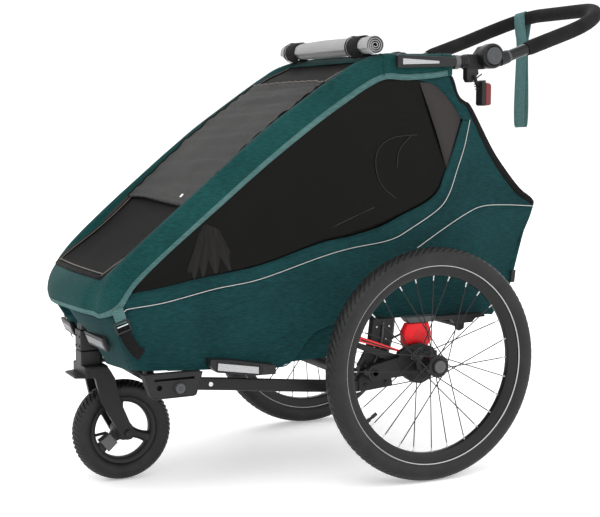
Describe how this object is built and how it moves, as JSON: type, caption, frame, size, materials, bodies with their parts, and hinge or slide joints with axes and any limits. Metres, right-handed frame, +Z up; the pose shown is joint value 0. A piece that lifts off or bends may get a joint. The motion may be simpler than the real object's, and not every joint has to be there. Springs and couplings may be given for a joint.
{
  "type": "child bicycle trailer",
  "caption": "Child bicycle trailer in stroller form: fabric cabin on a folding tube frame, sprung spoked wheels, a swivelling nose wheel and a tilting padded handlebar.",
  "frame": {"origin": "middle of the footprint's bounding box, on the floor", "axes": "+X towards the trailer's left side, +Y towards the handlebar with the nose along -Y, +Z up"},
  "size_m": [0.668, 1.2985, 1.0389],
  "materials": {
    "tube": "black powder coat, satin",
    "hub_metal": "black anodised",
    "dark_plastic": "moulded, fine texture",
    "grey_plastic": "moulded, satin",
    "tyre": "matt rubber with a fine tread",
    "cable_rubber": "smooth sheath",
    "foam": "matt closed-cell foam",
    "teal_cloth": "dense melange weave",
    "dark_mesh": "mesh and tinted film",
    "grey_cloth": "light grey woven cloth, rolled",
    "seat_cloth": "padded woven cloth",
    "webbing": "light teal webbing",
    "black_webbing": "black webbing",
    "red_elastomer": "satin elastomer",
    "red_plastic": "smooth",
    "reflector": "silver reflective"
  },
  "bodies": {
    "chassis": {"rear_frame": "tube", "front_hoop": "tube", "stay_cross_tube": "tube", "floor_pan": "dark_plastic", "caster_mount": "dark_plastic", "brake_cable": "cable_rubber", "tub": "teal_cloth", "rear_panel": "dark_mesh", "seat_cushion": "seat_cloth", "seat_back": "seat_cloth", "harness_buckle": "dark_plastic", "left_side_tube": "tube", "left_front_bracket": "dark_plastic", "left_side_reflector": "reflector", "left_front_reflector": "reflector", "left_side_curtain": "dark_mesh", "left_shoulder_strap": "black_webbing", "left_elastomer": "red_elastomer", "right_side_tube": "tube", "right_front_bracket": "dark_plastic", "right_side_reflector": "reflector", "right_front_reflector": "reflector", "right_side_curtain": "dark_mesh", "right_shoulder_strap": "black_webbing", "right_elastomer": "red_elastomer"},
    "upper_frame": {"left_roof_rail": "tube", "right_roof_rail": "tube", "left_rail_reflector": "reflector", "right_rail_reflector": "reflector", "hood_cover": "teal_cloth", "front_window": "dark_mesh", "rolled_rain_cover": "grey_cloth", "rear_light": "dark_plastic"},
    "rear_stays": {"left_rear_stay": "tube", "right_rear_stay": "tube"},
    "handlebar": {"handle_tube": "tube", "foam_grip": "foam", "left_handle_hub": "dark_plastic", "right_handle_hub": "dark_plastic", "wrist_strap": "webbing"},
    "left_tilt_button": {"left_handle_button": "grey_plastic"},
    "right_tilt_button": {"right_handle_button": "grey_plastic"},
    "left_arm": {"left_swing_arm": "tube"},
    "right_arm": {"right_swing_arm": "tube"},
    "left_wheel": {"left_tyre": "tyre", "left_rim": "hub_metal", "left_hub_and_spokes": "hub_metal"},
    "right_wheel": {"right_tyre": "tyre", "right_rim": "hub_metal", "right_hub_and_spokes": "hub_metal"},
    "left_axle_pin": {"left_quick_release": "grey_plastic"},
    "right_axle_pin": {"right_quick_release": "grey_plastic"},
    "caster": {"caster_fork": "dark_plastic", "front_axle_bolt": "hub_metal"},
    "nose_wheel": {"front_tyre": "tyre", "front_rim": "dark_plastic"},
    "caster_lock": {"caster_lock_knob": "grey_plastic"},
    "parking_brake": {"parking_brake_pedal": "red_plastic"},
    "drawbar_release": {"drawbar_release_knob": "grey_plastic"},
    "harness_release": {"harness_button": "red_plastic"}
  },
  "joints": [
    {"name": "fold_frame", "type": "hinge", "parent": "chassis", "child": "upper_frame", "pos_m": [0, -0.5315, 0.405], "axis": [-1, 0, 0], "range_deg": [0, 31], "deforming": ["left_side_curtain", "right_side_curtain", "rear_panel", "seat_back", "left_shoulder_strap", "right_shoulder_strap"]},
    {"name": "stay_fold", "type": "hinge", "parent": "chassis", "child": "rear_stays", "pos_m": [0, 0.2535, 0.358], "axis": [1, 0, 0], "range_deg": [0, 75]},
    {"name": "handlebar_tilt", "type": "hinge", "parent": "upper_frame", "child": "handlebar", "pos_m": [0, 0.2885, 0.904], "axis": [1, 0, 0], "range_deg": [-40, 120]},
    {"name": "left_tilt_button_press", "type": "slide", "parent": "handlebar", "child": "left_tilt_button", "axis": [-1, 0, 0], "range_m": [0, 0.004], "stiffness_N_per_m": 800},
    {"name": "right_tilt_button_press", "type": "slide", "parent": "handlebar", "child": "right_tilt_button", "axis": [1, 0, 0], "range_m": [0, 0.004], "stiffness_N_per_m": 800},
    {"name": "left_suspension", "type": "hinge", "parent": "chassis", "child": "left_arm", "pos_m": [0.298, -0.0285, 0.235], "axis": [1, 0, 0], "range_deg": [0, 8], "stiffness_Nm_per_rad": 300, "springref_deg": -3.44, "deforming": ["left_elastomer"]},
    {"name": "left_wheel_spin", "type": "hinge", "parent": "left_arm", "child": "left_wheel", "pos_m": [0.298, 0.0885, 0.25], "axis": [1, 0, 0], "continuous": true},
    {"name": "left_axle_pin_press", "type": "slide", "parent": "left_wheel", "child": "left_axle_pin", "axis": [-1, 0, 0], "range_m": [0, 0.003], "stiffness_N_per_m": 600},
    {"name": "right_suspension", "type": "hinge", "parent": "chassis", "child": "right_arm", "pos_m": [-0.298, -0.0285, 0.235], "axis": [1, 0, 0], "range_deg": [0, 8], "stiffness_Nm_per_rad": 300, "springref_deg": -3.44, "deforming": ["right_elastomer"]},
    {"name": "right_wheel_spin", "type": "hinge", "parent": "right_arm", "child": "right_wheel", "pos_m": [-0.298, 0.0885, 0.25], "axis": [1, 0, 0], "continuous": true},
    {"name": "right_axle_pin_press", "type": "slide", "parent": "right_wheel", "child": "right_axle_pin", "axis": [1, 0, 0], "range_m": [0, 0.003], "stiffness_N_per_m": 600},
    {"name": "caster_swivel", "type": "hinge", "parent": "chassis", "child": "caster", "pos_m": [0, -0.5715, 0.2855], "axis": [0, 0, 1], "continuous": true},
    {"name": "nose_wheel_spin", "type": "hinge", "parent": "caster", "child": "nose_wheel", "pos_m": [0, -0.5025, 0.108], "axis": [1, 0, 0], "continuous": true},
    {"name": "caster_lock_pull", "type": "slide", "parent": "chassis", "child": "caster_lock", "axis": [0, 0, 1], "range_m": [0, 0.008]},
    {"name": "parking_brake_press", "type": "hinge", "parent": "chassis", "child": "parking_brake", "pos_m": [0, 0.2065, 0.318], "axis": [-1, 0, 0], "range_deg": [0, 25]},
    {"name": "drawbar_release_pull", "type": "slide", "parent": "chassis", "child": "drawbar_release", "axis": [1, 0, 0], "range_m": [0, 0.006], "stiffness_N_per_m": 500},
    {"name": "harness_button_press", "type": "slide", "parent": "chassis", "child": "harness_release", "axis": [0, 1, 0], "range_m": [0, 0.0025], "stiffness_N_per_m": 400}
  ],
  "couplings": [
    {"joint": "stay_fold", "follows": "fold_frame", "ratio": 2.419}
  ]
}
